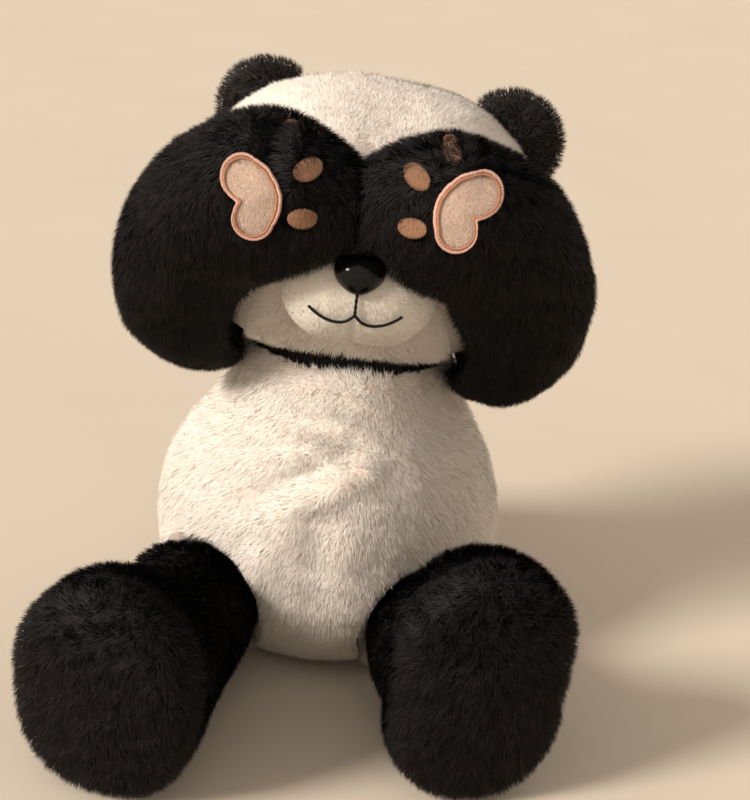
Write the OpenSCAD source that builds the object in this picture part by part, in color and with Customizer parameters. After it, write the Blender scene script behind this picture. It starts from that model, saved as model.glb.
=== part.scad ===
// Seated plush panda that hides its eyes behind its paws.
// It faces -Y, +Z is up, and the origin is the middle of the flat it sits on.
// "left" and "right" are the panda's own: its left side is +X.

/* [Cloth] */
// Thickness of the plush cloth, with the pressed half of its pile
cloth = 3; // [2.5:0.25:4]
// Clearance between bodies that move on each other
fit = 0.4; // [0.3:0.05:0.8]
// Air that the upright pile keeps between the paws and the face
pile_gap = 5.8; // [5.6:0.1:8]

/* [Torso] */
// Largest radius of the belly
belly_r = 85; // [82:1:88]
// Height of the widest ring of the belly
belly_z = 56; // [52:1:60]
// Radius of the chest above it
chest_r = 62; // [58:1:64]
// Height of the chest's middle
chest_z = 98; // [94:1:102]
// Radius of the round top that the head nods on
neck_r = 50; // [46:1:52]
// How far the head nods down, in degrees
nod_down = 10; // [6:1:12]
// How far the head nods up, in degrees
nod_up = 8; // [4:1:10]
// Height of the middle of the nod
neck_z = 136; // [132:1:140]
// Height where the black yoke starts
yoke_z = 147; // [144:1:152]
// Radius of the flat seat panel
seat_r = 44; // [38:1:47]
// Radius of the tail
tail_r = 16; // [12:1:20]

/* [Head] */
// Half the width of the head
head_half = 84; // [80:1:88]
// Radius of the head seen from the side
head_r = 66; // [63:1:68]
// Height of the head's middle
head_z = 208.5; // [206:0.5:212]
// Radius of an ear
ear_r = 23; // [18:1:26]
// Thickness of an ear
ear_t = 13; // [10:1:16]
// Place of the two ears along X, right then left
ear_x = [-49, 63]; // [-70:1:70]
// Depth of an ear's middle below the head's top there, right then left
ear_sunk = [14, 5.5]; // [4:0.5:18]

/* [Muzzle] */
// Half the width of the muzzle
muzzle_half = 34; // [30:1:38]
// Radius of the muzzle seen from the side
muzzle_r = 24; // [22:1:26]
// Shift of the muzzle toward the left
muzzle_x = 3; // [0:0.5:5]
// Height of the muzzle's middle
muzzle_z = 198; // [194:1:200]
// Thickness of the short plush on the muzzle
muzzle_cloth = 2; // [1.5:0.25:2.5]
// Width of the nose
nose_w = 21.5; // [19:0.5:24]
// Height of the nose
nose_h = 17; // [14:0.5:19]
// Width of the stitched line of the mouth
thread = 1.4; // [1:0.1:2]

/* [Eyes] */
// Distance of an eye from the middle of the face
eye_x = 30; // [27:1:34]
// Height of an eye above the head's middle
eye_up = 17; // [14:1:20]
// Radius of an eye
eye_r = 7; // [6:0.5:8]
// Height of an eye's dome
eye_dome = 3.5; // [3:0.1:3.8]
// Thickness of the black patch around an eye
patch_t = 1.8; // [1.4:0.1:2]

/* [Arms] */
// Radius of a paw
paw_r = 36; // [34:1:37]
// Middle of the left paw, from the head's middle
paw_off = [39, -82, 27.5]; // [-100:0.5:100]

/* [Pads] */
// Middle of a heart pad from the paw's, in X and Z
pad_off = [2.5, 10.5]; // [-12:0.5:12]
// Lean of the heart pads, right then left
pad_lean = [8, 24]; // [0:1:40]
// Width of the stitched border round a pad
border_w = 1.5; // [1:0.1:2]
// Depth of a pad in the paw's cloth
pad_sunk = 1; // [0.6:0.1:1.5]

/* [Legs] */
// Radius at the hips, right then left
hip_r = [28, 26]; // [24:0.5:30]
// Radii of the feet, right then left
foot_r = [40.5, 38]; // [35:0.5:42]
// Heights of the feet, right then left
foot_h = [99, 114]; // [94:1:118]
// Distances from the hips to the middles of the feet, right then left
leg_len = [120, 110]; // [104:1:124]
// Distance from the middle of the foot to its flat sole
sole_out = 14; // [10:1:18]
// Places of the hips in plan, right then left
hip_at = [[-53, -50], [46, -34]]; // [-70:1:60]
// Outward turn of the legs, right then left
leg_turn = [11, 14]; // [8:0.5:18]
// Inward swing of a leg from there
leg_in = 5; // [3:1:6]
// Outward swing of a leg from there
leg_out = 10; // [8:1:12]

/* [Inside] */
// Height of the pouch of pellets
pouch_h = 26; // [20:1:30]
// Radius of the pouch of pellets
pouch_r = 34; // [28:1:34]
// Distance of the pouch behind the middle
pouch_back = 14; // [12:1:15]
// Radius of the magnets
magnet_r = 6; // [5:0.5:7]
// Thickness of the magnets
magnet_t = 3; // [2:0.5:4]

/* [Hidden] */
$fn = 48;
big = 1000;
cone_dip = 0.01;
head_y = -2;
head_side = head_half - head_r;
muzzle_y = -74;
muzzle_side = muzzle_half - muzzle_r;
neck = [0, 0, neck_z];
eye_dir = [eye_x - head_side, -sqrt(pow(head_r, 2) - pow(eye_x - head_side, 2) - pow(eye_up, 2)), eye_up];
magnet_side = eye_dir[0] + 2 * magnet_r;
magnet_up = eye_up + 10;
magnet_dir = [magnet_side, -sqrt(pow(head_r, 2) - pow(magnet_side, 2) - pow(magnet_up, 2)), magnet_up];
// Sizes of the head and the paw against those that the arm's path and the pads were drawn for
across = head_half / 84;
down = head_r / 66;
paw_unit = paw_r / 36;
paw_at = [paw_off[0] * across, head_y + paw_off[1] * down, head_z + paw_off[2] * down];
pad_at = [paw_at[0] + pad_off[0] * paw_unit, paw_at[2] + pad_off[1] * paw_unit];
nose_tilt = 58;
nose_top_r = 5.6;
nose_low_r = 4.8;
nose_out = 3.5;
shank_r = 1.8;
nose_shank_r = 2.5;
washer_t = 1.6;
washer_r = 6.5;
patch_r = 2 * eye_r;
patch_long = eye_r * 5 / 7;
hole_slack = 0.1;
arm_seam = 45;
pouch_cloth = 1.5;
black = "#1d1a1a";
white = "#efe7dc";
cream = "#e8d9c4";
skin = "#e3b8a2";
salmon = "#cf8d6c";
fibre = "#f6f3ee";
steel = "#8d9096";

// ---- shapes that repeat ----

// Mirrors the left side's shape for the right side: side is 1 for left and -1 for right
module on_side(side) {
    if (side > 0) children();
    else mirror([1, 0, 0]) children();
}

// The half of space in front of the middle seam, or behind it
module half_space(front) {
    translate([-big / 2, front ? -big : 0, -big / 2]) cube(big);
}

// A rounded cylinder along X: half its length, and its radius
module pill(at, half, r) {
    translate(at) rotate([0, 90, 0]) rotate_extrude() pill_profile(half, r);
}

module pill_profile(half, r) {
    intersection() {
        union() {
            for (end = [-1, 1]) translate([0, end * (half - r)]) circle(r);
            translate([0, r - half]) square([r, 2 * (half - r)]);
        }
        translate([0, -half]) square([r, 2 * half]);
    }
}

// A bar with round ends of two radii, along +Z. Its cone lies just inside the tangent, so that it meets the balls cleanly
module bone(len, r1, r2) {
    slope = (r2 - r1) / len;
    c = sqrt(1 - slope * slope);
    low = r1 - cone_dip;
    high = r2 - cone_dip;
    rotate_extrude() intersection() {
        union() {
            circle(r1);
            translate([0, len]) circle(r2);
            polygon([[0, -low * slope], [low * c, -low * slope], [high * c, len - high * slope], [0, len - high * slope]]);
        }
        translate([0, -r1]) square([max(r1, r2), len + r1 + r2]);
    }
}

// Turns +Z to the direction d
module aim(d) {
    rotate([0, acos(d[2] / norm(d)), atan2(d[1], d[0])]) children();
}

// ---- torso ----

// The stuffed torso, t below its outer face, before the legs are let in
module torso_body(t) {
    intersection() {
        union() {
            translate([0, 0, belly_z]) sphere(belly_r - t);
            translate([0, 0, chest_z]) sphere(chest_r - t);
            translate(neck) sphere(neck_r - t);
        }
        translate([-big / 2, -big / 2, t]) cube(big);
    }
}

// The room that one leg needs for its swing, grown by t: it widens from the hip with the swing
module leg_sweep(i, t) {
    middle = leg_turn[i] + (leg_out - leg_in) / 2;
    widen = 2 * leg_len[i] * sin((leg_out + leg_in) / 4);
    translate([hip_at[i][0], hip_at[i][1], hip_r[i]]) rotate([0, 0, (i == 0 ? -1 : 1) * middle])
        leg_bone(i, t, widen);
}

module torso(t) {
    difference() {
        torso_body(t);
        for (i = [0, 1]) leg_sweep(i, t + fit);
    }
}

module torso_shell() {
    difference() {
        torso(0);
        torso(cloth);
    }
}

module seat_disc() {
    cylinder(h = cloth, r = seat_r);
}

module torso_panel(front) {
    difference() {
        intersection() {
            torso_shell();
            half_space(front);
        }
        translate([-big / 2, -big / 2, yoke_z]) cube(big);
        seat_disc();
    }
}

module belly_panel() {
    color(white) torso_panel(true);
}

module back_panel() {
    color(white) torso_panel(false);
}

module seat_panel() {
    color(white) difference() {
        seat_disc();
        for (i = [0, 1]) leg_sweep(i, fit);
    }
}

module shoulder_yoke() {
    color(black) difference() {
        translate(neck) sphere(neck_r);
        translate(neck) sphere(neck_r - cloth);
        translate([-big / 2, -big / 2, yoke_z - big]) cube(big);
    }
}

module tail() {
    color(white) difference() {
        translate([0, belly_r - tail_r / 6, belly_z - tail_r]) sphere(tail_r);
        translate([0, 0, belly_z]) sphere(belly_r);
    }
}

module pouch(t) {
    translate([0, pouch_back, cloth + t]) cylinder(h = pouch_h - 2 * t, r = pouch_r - t);
}

module torso_stuffing() {
    color(fibre) difference() {
        torso(cloth);
        pouch(0);
    }
}

module pellet_pouch() {
    color(cream) difference() {
        pouch(0);
        pouch(pouch_cloth);
    }
}

module pellet_fill() {
    color("#b9c3c9") pouch(pouch_cloth);
}

// ---- head ----

module head_body(t) {
    pill([0, head_y, head_z], head_half - t, head_r - t);
}

// The head less the neck that it sits on, t below its outer face
module head(t) {
    difference() {
        head_body(t);
        translate(neck) sphere(neck_r + fit + t);
    }
}

module eye_frame(dir) {
    translate([head_side, head_y, head_z]) aim(dir) children();
}

module eye_shank(side) {
    on_side(side) eye_frame(eye_dir)
        translate([0, 0, head_r - cloth - 2 * washer_t]) cylinder(h = cloth + 2 * washer_t + patch_t + 1, r = shank_r);
}

module head_panel(front) {
    difference() {
        intersection() {
            difference() {
                head(0);
                head(cloth);
            }
            translate([0, head_y, 0]) half_space(front);
        }
        if (front) for (side = [-1, 1]) eye_shank(side);
    }
}

module face_panel() {
    color(white) head_panel(true);
}

module head_back_panel() {
    color(white) head_panel(false);
}

module eye_washer_disc() {
    eye_frame(eye_dir)
        translate([0, 0, head_r - cloth - washer_t - 0.4]) cylinder(h = washer_t, r = washer_r);
}

module face_magnet() {
    eye_frame(magnet_dir)
        translate([0, 0, head_r - cloth - magnet_t - 0.4]) cylinder(h = magnet_t, r = magnet_r);
}

module head_stuffing() {
    color(fibre) difference() {
        head(cloth);
        for (side = [-1, 1]) {
            on_side(side) {
                eye_washer_disc();
                face_magnet();
            }
            eye_shank(side);
        }
    }
}

module ear(i) {
    x = ear_x[i];
    round = ear_t / 2;
    color(black) difference() {
        translate([x, 4, head_z + sqrt(pow(head_r, 2) - pow(abs(x) - head_side, 2)) - ear_sunk[i]])
            rotate([90, 0, 0]) rotate_extrude() {
                translate([0, -round]) square([ear_r - round, ear_t]);
                translate([ear_r - round, 0]) circle(round);
            }
        head_body(0);
    }
}

module left_ear() {
    ear(1);
}

module right_ear() {
    ear(0);
}

module eye_patch(side) {
    color(black) difference() {
        on_side(side) difference() {
            intersection() {
                eye_frame([0, 0, 1]) sphere(head_r + patch_t);
                eye_frame(eye_dir) rotate([0, 0, 30]) linear_extrude(big) {
                    for (end = [-1, 1]) translate([end * patch_long, 0]) circle(patch_r);
                    translate([-patch_long, -patch_r]) square([2 * patch_long, 2 * patch_r]);
                }
            }
            eye_frame([0, 0, 1]) sphere(head_r + hole_slack);
            eye_shank(1);
        }
        muzzle(0);
    }
}

module left_eye_patch() {
    eye_patch(1);
}

module right_eye_patch() {
    eye_patch(-1);
}

// A domed button and its shank, turned in one piece
module eye(side) {
    face_r = head_r + patch_t;
    color("#070707") on_side(side) eye_frame(eye_dir) rotate_extrude() {
        difference() {
            intersection() {
                translate([0, face_r + eye_dome - eye_r]) circle(eye_r);
                square([eye_r, big]);
            }
            circle(face_r);
        }
        translate([0, head_r - cloth - 2 * washer_t]) square([shank_r, cloth + 2 * washer_t + patch_t + 1]);
    }
}

module left_eye() {
    eye(1);
}

module right_eye() {
    eye(-1);
}

module eye_washers() {
    color(steel) for (side = [-1, 1]) difference() {
        on_side(side) eye_washer_disc();
        eye_shank(side);
    }
}

module face_magnets() {
    color(steel) for (side = [-1, 1]) on_side(side) face_magnet();
}

// ---- muzzle and nose ----

module muzzle(t) {
    pill([muzzle_x, muzzle_y, muzzle_z], muzzle_half - t, muzzle_r - t);
}

module nose_frame(x = muzzle_x) {
    translate([x, muzzle_y, muzzle_z]) rotate([nose_tilt, 0, 0]) children();
}

module nose_shank() {
    nose_frame() translate([0, 0, muzzle_r - 9]) cylinder(h = 10, r = nose_shank_r);
}

module nose_washer_disc() {
    nose_frame() translate([0, 0, muzzle_r - muzzle_cloth - washer_t - 1]) cylinder(h = washer_t, r = washer_r);
}

module muzzle_cover() {
    color(cream) difference() {
        muzzle(0);
        muzzle(muzzle_cloth);
        head_body(0);
        nose_shank();
    }
}

module muzzle_stuffing() {
    color(fibre) difference() {
        muzzle(muzzle_cloth);
        head_body(0);
        nose_shank();
        nose_washer_disc();
    }
}

// The rounded triangle of the nose, grown by t
module nose_ball(t, half) {
    rise = nose_h - nose_top_r - nose_low_r;
    translate([0, 0, muzzle_r + nose_out]) hull() {
        for (side = [-1, 1]) translate([side * (half - nose_top_r), rise / 3, 0]) sphere(nose_top_r + t, $fn = 28);
        translate([0, -rise * 2 / 3, 0]) sphere(nose_low_r + t, $fn = 28);
    }
}

module nose_button(t) {
    nose_frame() nose_ball(t, nose_w / 2);
}

// The room that the paws leave for the muzzle and the nose, alike on both sides
module muzzle_room(t) {
    pill([0, muzzle_y, muzzle_z], muzzle_half + muzzle_x + t, muzzle_r + t);
    nose_frame(0) nose_ball(t, nose_w / 2 + muzzle_x);
}

module nose() {
    color("#060606") difference() {
        union() {
            nose_button(0);
            nose_shank();
        }
        difference() {
            muzzle(0);
            nose_shank();
        }
    }
}

module nose_washer() {
    color(steel) difference() {
        nose_washer_disc();
        nose_shank();
    }
}

// Front outline of the mouth: a drop below the nose and two flat upturned curves
module smile() {
    curve_r = 13;
    curve_in = 7.5;
    curve_end = 6.9;
    low = muzzle_z - 4;
    rise = sqrt(pow(curve_r, 2) - pow(curve_in, 2));
    translate([-thread / 2, low]) square([thread, 11]);
    for (side = [-1, 1]) translate([side * curve_in, low + rise]) difference() {
        circle(curve_r + thread / 2);
        circle(curve_r - thread / 2);
        translate([-big / 2, -curve_end]) square(big);
        translate([side > 0 ? -curve_in - thread / 2 - big : curve_in + thread / 2, -big / 2]) square(big);
    }
}

module mouth_stitching() {
    color("#0c0a0a") difference() {
        intersection() {
            muzzle(-0.8);
            translate([muzzle_x, muzzle_y, 0]) rotate([90, 0, 0]) linear_extrude(big) smile();
        }
        muzzle(0);
        nose_button(0);
    }
}

// ---- arms ----

// Middles of the balls that the arm's outline wraps, from the head's middle, and their radii, from shoulder to paw
arm_path = [
    [[57, -1, -52.5], 23], [[65, -11, -51.5], 26], [[72, -21, -45.5], 29], [[75, -31, -33.5], 32],
    [[74, -41, -17.5], 34], [[68, -52, -0.5], 35], [[59, -63, 13.5], 35], [[48, -74, 22.5], 36],
    [paw_off, 36]];
arm_balls = [for (b = arm_path)
    [[b[0][0] * across, head_y + b[0][1] * down, head_z + b[0][2] * down], b[1] * paw_unit]];

// The chest as the nodding head meets it, grown by t: at both ends of the nod and at rest
module chest_sweep(t) {
    for (nod = [-nod_down, 0, nod_up]) translate(neck) rotate([nod, 0, 0])
        translate([0, 0, chest_z - neck_z]) sphere(chest_r + t);
}

// The whole arm, t below its outer face
module arm(t) {
    difference() {
        for (i = [0:len(arm_balls) - 2]) hull() for (k = [i, i + 1])
            translate(arm_balls[k][0]) sphere(arm_balls[k][1] - t, $fn = t == 0 ? 20 : 16);
        pill([0, head_y, head_z], head_half + pile_gap + t, head_r + pile_gap + t);
        muzzle_room(1 + t);
        translate(neck) sphere(neck_r + fit + t);
        chest_sweep(fit + t);
    }
}

module heart(grow) {
    for (lobe = [[-3.5, 0, 10.5], [1.5, 7.5, 8.5], [1, -8, 8]])
        translate([lobe[0], lobe[1]] * paw_unit) circle(lobe[2] * paw_unit + grow);
}

// Extrudes an outline in X and Z through the front of the left paw
module through_paw(deep) {
    difference() {
        translate([0, paw_at[1] - paw_r / 3, 0]) rotate([90, 0, 0]) linear_extrude(paw_r) children();
        translate(paw_at) sphere(paw_r - deep);
    }
}

module on_paw(deep, proud) {
    intersection() {
        through_paw(deep) children();
        translate(paw_at) sphere(paw_r + proud);
    }
}

module pad_outline(i, grow) {
    translate(pad_at) rotate(-pad_lean[i]) heart(grow);
}

// Places and leans of the toe pads about the heart
toes = [[-20.3, 11, 14], [-20, -9, -6], [-8, 20.5, 40]];
toe_r = 4;
toe_long = 1.8;

module toe_outlines(grow) {
    long = toe_long * paw_unit;
    r = toe_r * paw_unit + grow;
    for (toe = toes) translate(pad_at + [toe[0], toe[1]] * paw_unit) rotate(-toe[2]) {
        for (end = [-1, 1]) translate([end * long, 0]) circle(r);
        translate([-long, -r]) square([2 * long, 2 * r]);
    }
}

// The half of space on the palm's side of the seam that runs round the arm, or behind it
module palm_side(palm) {
    translate(arm_balls[4][0]) rotate([arm_seam, 0, 0])
        translate([-big / 2, palm ? -big : 0, -big / 2]) cube(big);
}

module arm_cover(palm, i) {
    color(black) intersection() {
        difference() {
            arm(0);
            arm(cloth);
            paw_magnet(hole_slack);
            through_paw(pad_sunk + hole_slack) {
                pad_outline(i, border_w + hole_slack);
                toe_outlines(hole_slack);
            }
        }
        palm_side(palm);
    }
}

// A paw's magnet, or with t its slightly larger hole
module paw_magnet(t) {
    eye_frame(magnet_dir)
        translate([0, 0, head_r + pile_gap + cloth - 0.6 - t]) cylinder(h = magnet_t + 2 * t, r = magnet_r + t);
}

module arm_stuffing() {
    color(fibre) difference() {
        arm(cloth);
        paw_magnet(hole_slack);
    }
}

module paw_pad(i) {
    color(skin) on_paw(pad_sunk, 0.6) pad_outline(i, 0);
}

module pad_border(i) {
    color(salmon) on_paw(pad_sunk, 1) difference() {
        pad_outline(i, border_w);
        pad_outline(i, 0);
    }
}

module toe_pads() {
    color("#a8623c") on_paw(pad_sunk, 0.6) toe_outlines(0);
}

module left_arm_palm() {
    arm_cover(true, 1);
}

module right_arm_palm() {
    on_side(-1) arm_cover(true, 0);
}

module left_arm_back() {
    arm_cover(false, 1);
}

module right_arm_back() {
    on_side(-1) arm_cover(false, 0);
}

module left_arm_stuffing() {
    arm_stuffing();
}

module right_arm_stuffing() {
    on_side(-1) arm_stuffing();
}

module left_paw_pad() {
    paw_pad(1);
}

module right_paw_pad() {
    on_side(-1) paw_pad(0);
}

module left_pad_border() {
    pad_border(1);
}

module right_pad_border() {
    on_side(-1) pad_border(0);
}

module left_toe_pads() {
    toe_pads();
}

module right_toe_pads() {
    on_side(-1) toe_pads();
}

module left_paw_magnet() {
    color(steel) paw_magnet(0);
}

module right_paw_magnet() {
    color(steel) on_side(-1) paw_magnet(0);
}

// ---- legs ----

// The shaft of a leg along -Y from its hip, grown by t, and by more at the foot
module leg_bone(i, t, more) {
    reach = [0, -leg_len[i], foot_r[i] + 3 - hip_r[i]];
    aim(reach) bone(norm(reach), hip_r[i] + t, foot_r[i] - 2 + t + more);
}

// Puts a leg at its hip and turns it outward
module leg_place(i) {
    translate([hip_at[i][0], hip_at[i][1], 0]) rotate([0, 0, (i == 0 ? -1 : 1) * leg_turn[i]]) children();
}

// The whole leg, t below its outer face, flat where it rests and at its sole
module leg_body(i, t) {
    half = foot_h[i] / 2;
    intersection() {
        union() {
            translate([0, 0, hip_r[i]]) leg_bone(i, -t, 0);
            translate([0, -leg_len[i], half - 0.5]) rotate_extrude() pill_profile(half + 0.5 - t, foot_r[i] - t);
        }
        translate([-big / 2, -leg_len[i] - sole_out + t, t]) cube(big);
    }
}

module leg_shell(i) {
    difference() {
        leg_body(i, 0);
        leg_body(i, cloth);
    }
}

module past_seam(i) {
    translate([-big / 2, -leg_len[i] - big, -big / 2]) cube(big);
}

module leg_cover(i) {
    color(black) leg_place(i) difference() {
        leg_shell(i);
        past_seam(i);
    }
}

module sole_panel(i) {
    color(black) leg_place(i) intersection() {
        leg_shell(i);
        past_seam(i);
    }
}

module leg_stuffing(i) {
    color(fibre) leg_place(i) leg_body(i, cloth);
}

module left_leg_cover() {
    leg_cover(1);
}

module left_sole_panel() {
    sole_panel(1);
}

module left_leg_stuffing() {
    leg_stuffing(1);
}

module right_leg_cover() {
    leg_cover(0);
}

module right_sole_panel() {
    sole_panel(0);
}

module right_leg_stuffing() {
    leg_stuffing(0);
}

belly_panel();
back_panel();
seat_panel();
shoulder_yoke();
tail();
torso_stuffing();
pellet_pouch();
pellet_fill();
face_panel();
head_back_panel();
head_stuffing();
left_ear();
right_ear();
left_eye_patch();
right_eye_patch();
left_eye();
right_eye();
eye_washers();
face_magnets();
muzzle_cover();
muzzle_stuffing();
nose();
nose_washer();
mouth_stitching();
left_arm_palm();
left_arm_back();
left_arm_stuffing();
left_paw_pad();
left_pad_border();
left_toe_pads();
left_paw_magnet();
right_arm_palm();
right_arm_back();
right_arm_stuffing();
right_paw_pad();
right_pad_border();
right_toe_pads();
right_paw_magnet();
left_leg_cover();
left_sole_panel();
left_leg_stuffing();
right_leg_cover();
right_sole_panel();
right_leg_stuffing();
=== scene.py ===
"""Seated plush panda that hides its eyes behind its paws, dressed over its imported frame."""
import math
from collections import namedtuple

import bmesh
import bpy
import numpy as np
from mathutils import Matrix, Vector, kdtree


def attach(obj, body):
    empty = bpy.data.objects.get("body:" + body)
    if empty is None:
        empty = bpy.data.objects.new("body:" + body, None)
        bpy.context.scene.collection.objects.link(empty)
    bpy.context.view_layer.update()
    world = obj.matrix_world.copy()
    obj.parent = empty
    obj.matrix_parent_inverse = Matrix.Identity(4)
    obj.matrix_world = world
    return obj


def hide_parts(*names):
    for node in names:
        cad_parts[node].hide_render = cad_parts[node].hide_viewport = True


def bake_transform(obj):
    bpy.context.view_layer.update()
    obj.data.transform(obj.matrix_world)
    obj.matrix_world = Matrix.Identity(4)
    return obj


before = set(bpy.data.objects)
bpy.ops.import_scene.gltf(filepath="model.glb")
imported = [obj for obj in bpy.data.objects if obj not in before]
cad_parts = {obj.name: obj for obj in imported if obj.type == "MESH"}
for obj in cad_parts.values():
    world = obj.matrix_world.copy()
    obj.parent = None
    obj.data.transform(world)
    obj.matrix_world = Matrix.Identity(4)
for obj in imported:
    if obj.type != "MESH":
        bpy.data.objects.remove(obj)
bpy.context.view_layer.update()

MM = 0.001

# ---- camera ----

AIM = Vector((0.0155, 0, 0.118))
VIEW_DISTANCE = 0.760
VIEW_HEIGHT_DEG = 22
VIEW_ROLL_DEG = 7


def make_camera():
    height = math.radians(VIEW_HEIGHT_DEG)
    roll = math.radians(VIEW_ROLL_DEG)
    back = Vector((0, -math.cos(height), math.sin(height)))
    level = Vector((1, 0, 0))
    upright = back.cross(level)
    right = level * math.cos(roll) + upright * math.sin(roll)
    up = back.cross(right)
    data = bpy.data.cameras.new("camera")
    data.lens = 70
    data.sensor_width = 36
    camera = bpy.data.objects.new("camera", data)
    bpy.context.collection.objects.link(camera)
    camera.matrix_world = Matrix.Translation(AIM + back * VIEW_DISTANCE) @ Matrix(
        (right, up, back)
    ).transposed().to_4x4()
    bpy.context.scene.camera = camera


# ---- the stuffed forms, in metres, from the same values as the part's source ----

Rod = namedtuple("Rod", "start end start_r end_r")


def at(x, y, z):
    return np.array((x, y, z)) * MM


def rod(start, end, start_r, end_r=None):
    """A ball that is drawn from one place to another while its radius changes."""
    end_r = start_r if end_r is None else end_r
    return Rod(at(*start), at(*end), start_r * MM, end_r * MM)


def chain(balls):
    """The rods between balls that follow each other."""
    return [rod(a, b, ra, rb) for (a, ra), (b, rb) in zip(balls, balls[1:])]


def grown(rods, by):
    return [Rod(r.start, r.end, r.start_r + by, r.end_r + by) for r in rods]


def mirrored(rods):
    flip = np.array((-1.0, 1, 1))
    return [Rod(r.start * flip, r.end * flip, r.start_r, r.end_r) for r in rods]


TORSO = chain([((0, 0, 56), 85), ((0, 0, 98), 62), ((0, 0, 136), 50)])
NECK_BALL = [rod((0, 0, 136), (0, 0, 136), 50)]
HEAD_MIDDLE = (0, -2, 208.5)
HEAD_R = 66
HEAD_ENDS = 18
HEAD = [rod((-HEAD_ENDS, -2, 208.5), (HEAD_ENDS, -2, 208.5), HEAD_R)]
MUZZLE_X, MUZZLE_Y, MUZZLE_Z, MUZZLE_R = 3, -74, 198, 24
MUZZLE_ENDS = 10
MUZZLE_MIDDLE = at(MUZZLE_X, MUZZLE_Y, MUZZLE_Z)
MUZZLE = chain([((MUZZLE_X + x, MUZZLE_Y, MUZZLE_Z), MUZZLE_R) for x in (-MUZZLE_ENDS, MUZZLE_ENDS)])
NOSE_ROOM = [rod((x, -92, 209.5), (x, -128, 223), 7.5) for x in (0, 6)]
ARM_PATH = (
    ((57, -1, -52.5), 23), ((65, -11, -51.5), 26), ((72, -21, -45.5), 29), ((75, -31, -33.5), 32),
    ((74, -41, -17.5), 34), ((68, -52, -0.5), 35), ((59, -63, 13.5), 35), ((48, -74, 22.5), 36),
    ((39, -82, 27.5), 36),
)
LEFT_ARM = chain([([a + b for a, b in zip(HEAD_MIDDLE, place)], r) for place, r in ARM_PATH])
RIGHT_ARM = mirrored(LEFT_ARM)
PAW = at(39, -84, 236)
PAW_R = 36 * MM
CLOTH = 3 * MM
PILE_GAP = 5.8 * MM
YOKE_Z = 147 * MM
SOLE_OUT = 14
SKIN_FLOOR = 2 * MM
CRUSHED_BELOW = 3.5 * MM
SHORT_BELOW = 9 * MM
SEAM_BARE = 0.05 * MM
SWING_MIDDLE = 2.5
SWING_HALF = 3.75

SIDES = {"left": 1, "right": -1}

Leg = namedtuple("Leg", "x y turn length hip_r foot_r foot_h")
LEGS = {
    "left": Leg(46, -34, 14, 110, 26, 38, 114),
    "right": Leg(-53, -50, -11, 120, 28, 40.5, 99),
}


def turned(x, y, degrees):
    turn = math.radians(degrees)
    return x * math.cos(turn) - y * math.sin(turn), x * math.sin(turn) + y * math.cos(turn)


def leg_rods(side, extra_turn=0, widen=0):
    """The shaft and the foot of a leg. Widened, it is the room that the leg's swing needs."""
    leg = LEGS[side]
    turn = leg.turn + extra_turn * SIDES[side]
    reach_x, reach_y = turned(0, -leg.length, turn)
    far = (leg.x + reach_x, leg.y + reach_y)
    near = (leg.x, leg.y, leg.hip_r)
    shaft = rod(near, (*far, leg.foot_r + 3), leg.hip_r, leg.foot_r - 2 + widen)
    foot = rod((*far, leg.foot_r - 1), (*far, leg.foot_h - leg.foot_r), leg.foot_r)
    return [shaft, foot]


def rod_distance(points, one):
    """Distance of points outside a rod, and the direction away from its middle line."""
    along = one.end - one.start
    length2 = max(float(along @ along), 1e-12)
    t = np.clip((points - one.start) @ along / length2, 0, 1)
    away = points - one.start - t[:, None] * along
    far = np.linalg.norm(away, axis=1)
    outside = far - (one.start_r + t * (one.end_r - one.start_r))
    return outside, away / np.maximum(far, 1e-9)[:, None]


def keep_off(points, rods, gap=0.0):
    """Moves points out of the rods, as cloth or pile is pressed by what touches it."""
    points = points.copy()
    for one in rods:
        outside, away = rod_distance(points, one)
        points += away * np.maximum(gap - outside, 0)[:, None]
    return points


def laid_down(points, roots, normals, rods):
    """Lowers points of strands onto their own skin where something lies on it."""
    low = np.full(len(points), 0.6 * MM)
    rise = np.maximum(np.sum((points - roots) * normals, axis=1) - low, 0)
    over = np.maximum(-clearance(points, rods), 0)
    points = points - normals * np.minimum(over, rise)[:, None]
    moved = keep_off(points, rods) - points
    far = np.linalg.norm(moved, axis=1)
    return points + moved * np.minimum(1, 1.5 * MM / np.maximum(far, 1e-9))[:, None]


def bell(distance, width):
    return np.exp(-((distance / width) ** 2))


def ramp(values, start, end):
    """0 to 1 as values go from a start to an end that are given in millimetres."""
    return np.clip((values - start * MM) / ((end - start) * MM), 0, 1)


def vectors(x, y, z):
    """Vectors from their coordinates, each a number or a row of numbers."""
    return np.stack(np.broadcast_arrays(x, y, z), 1)


def beside(points, path, width):
    """1 on a path given in millimetres, falling to 0 beside it."""
    far = [rod_distance(points, rod(a, b, 0))[0] for a, b in zip(path, path[1:])]
    return bell(np.min(far, axis=0), width * MM)


def swell(points, away, path, width, height):
    """Raises a soft ridge along a path, or presses a fold in, where the height is negative."""
    return points + away * (beside(points, path, width) * height * MM)[:, None]


def over_magnets(points, away, node, height, width=11):
    """Lifts a skin over the magnets that are sewn in under it."""
    discs = coords(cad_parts[node].data)
    for disc in (discs[discs[:, 0] > 0], discs[discs[:, 0] < 0]):
        if len(disc):
            far = np.linalg.norm(points - disc.mean(axis=0), axis=1)
            points = points + away * (height * MM * bell(far, width * MM))[:, None]
    return points


def clearance(points, rods):
    nearest = np.full(len(points), 1.0)
    for one in rods:
        nearest = np.minimum(nearest, rod_distance(points, one)[0])
    return nearest


# ---- meshes ----


def coords(mesh):
    co = np.empty(len(mesh.vertices) * 3)
    mesh.vertices.foreach_get("co", co)
    return co.reshape(-1, 3)


def set_coords(mesh, co):
    mesh.vertices.foreach_set("co", co.ravel())
    mesh.update()


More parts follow.
